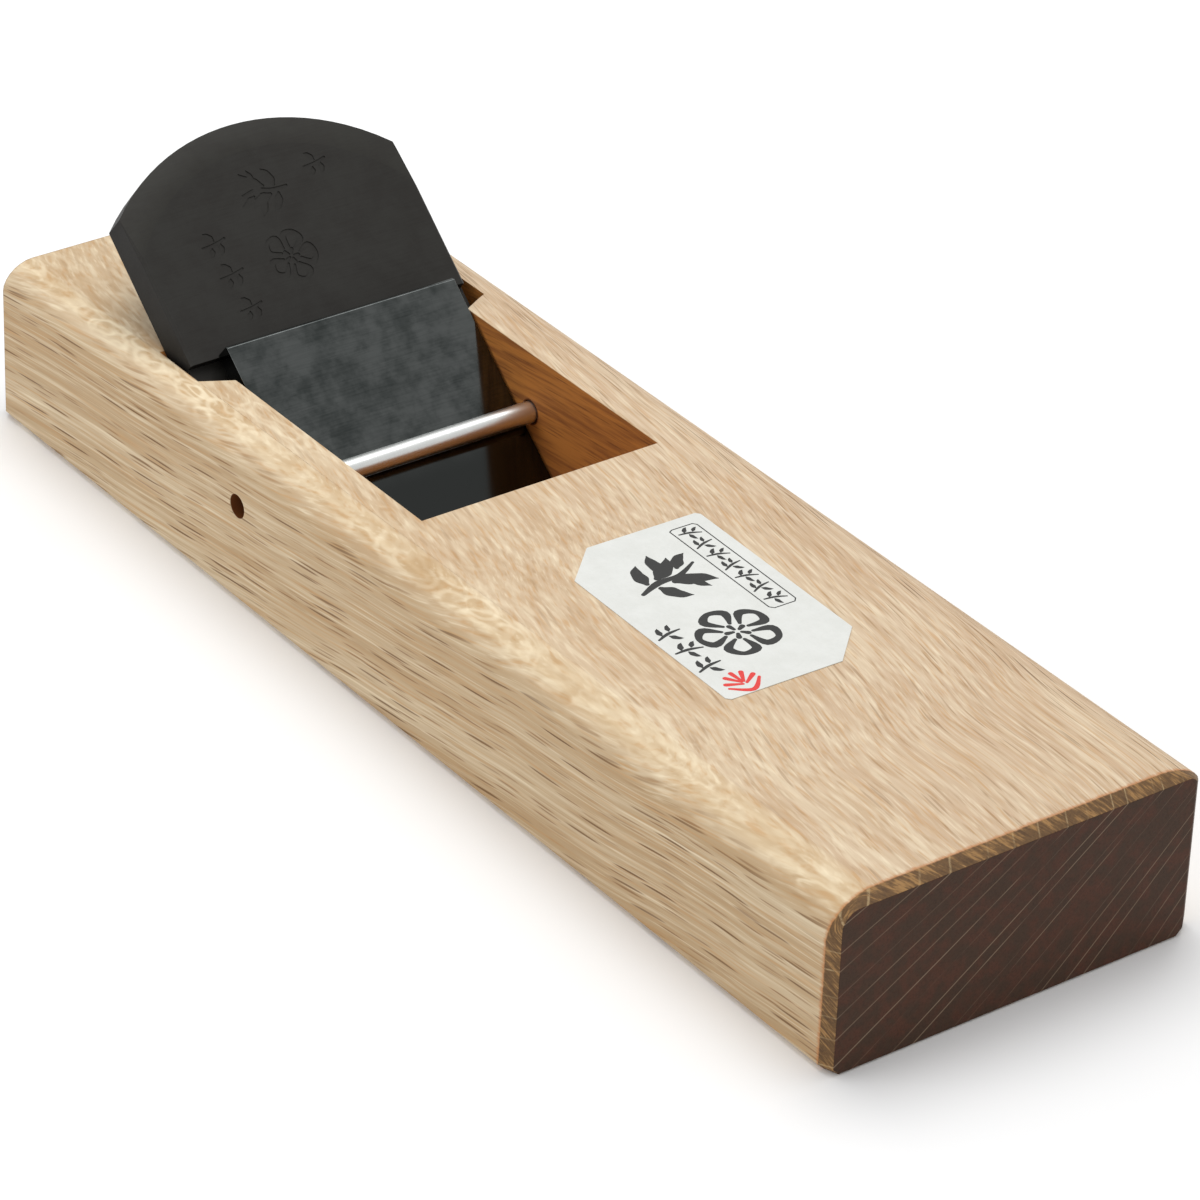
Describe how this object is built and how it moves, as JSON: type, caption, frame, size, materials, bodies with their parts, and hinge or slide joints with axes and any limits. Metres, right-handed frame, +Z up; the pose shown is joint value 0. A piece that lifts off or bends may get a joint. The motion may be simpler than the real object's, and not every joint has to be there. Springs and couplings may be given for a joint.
{
  "type": "hand plane",
  "caption": "Wooden pull plane with a sloping blade set, a chip breaker under a steel cross pin, an open throat and a paper label.",
  "frame": {"origin": "middle of the sole, on its face", "axes": "+X along the body towards its leading end (the label end), +Y across, +Z up out of the sole"},
  "size_m": [0.2706, 0.081, 0.0631],
  "materials": {
    "oak": "planed, unvarnished, with oiled dark ends",
    "paper": "matt printed paper",
    "black_steel": "blackened satin",
    "blade_steel": "ground bright",
    "blued_steel": "dark blued, lightly brushed",
    "bright_steel": "polished"
  },
  "bodies": {
    "plane_body": {"body": "oak", "label": "paper"},
    "blade_set": {"blade_holder": "black_steel", "blade_stud_left": "bright_steel", "blade_stud_right": "bright_steel", "cutting_blade": "blade_steel"},
    "breaker": {"chip_breaker": "blued_steel"},
    "pin": {"pressure_pin": "bright_steel"}
  },
  "joints": [
    {"name": "blade_slide", "type": "slide", "parent": "plane_body", "child": "blade_set", "axis": [-0.766, 0, 0.6428], "range_m": [-0.001, 0.1]},
    {"name": "breaker_slide", "type": "slide", "parent": "blade_set", "child": "breaker", "axis": [-0.766, 0, 0.6428], "range_m": [-0.0005, 0.048]},
    {"name": "pin_draw", "type": "slide", "parent": "plane_body", "child": "pin", "axis": [0, -1, 0], "range_m": [0, 0.07]}
  ]
}
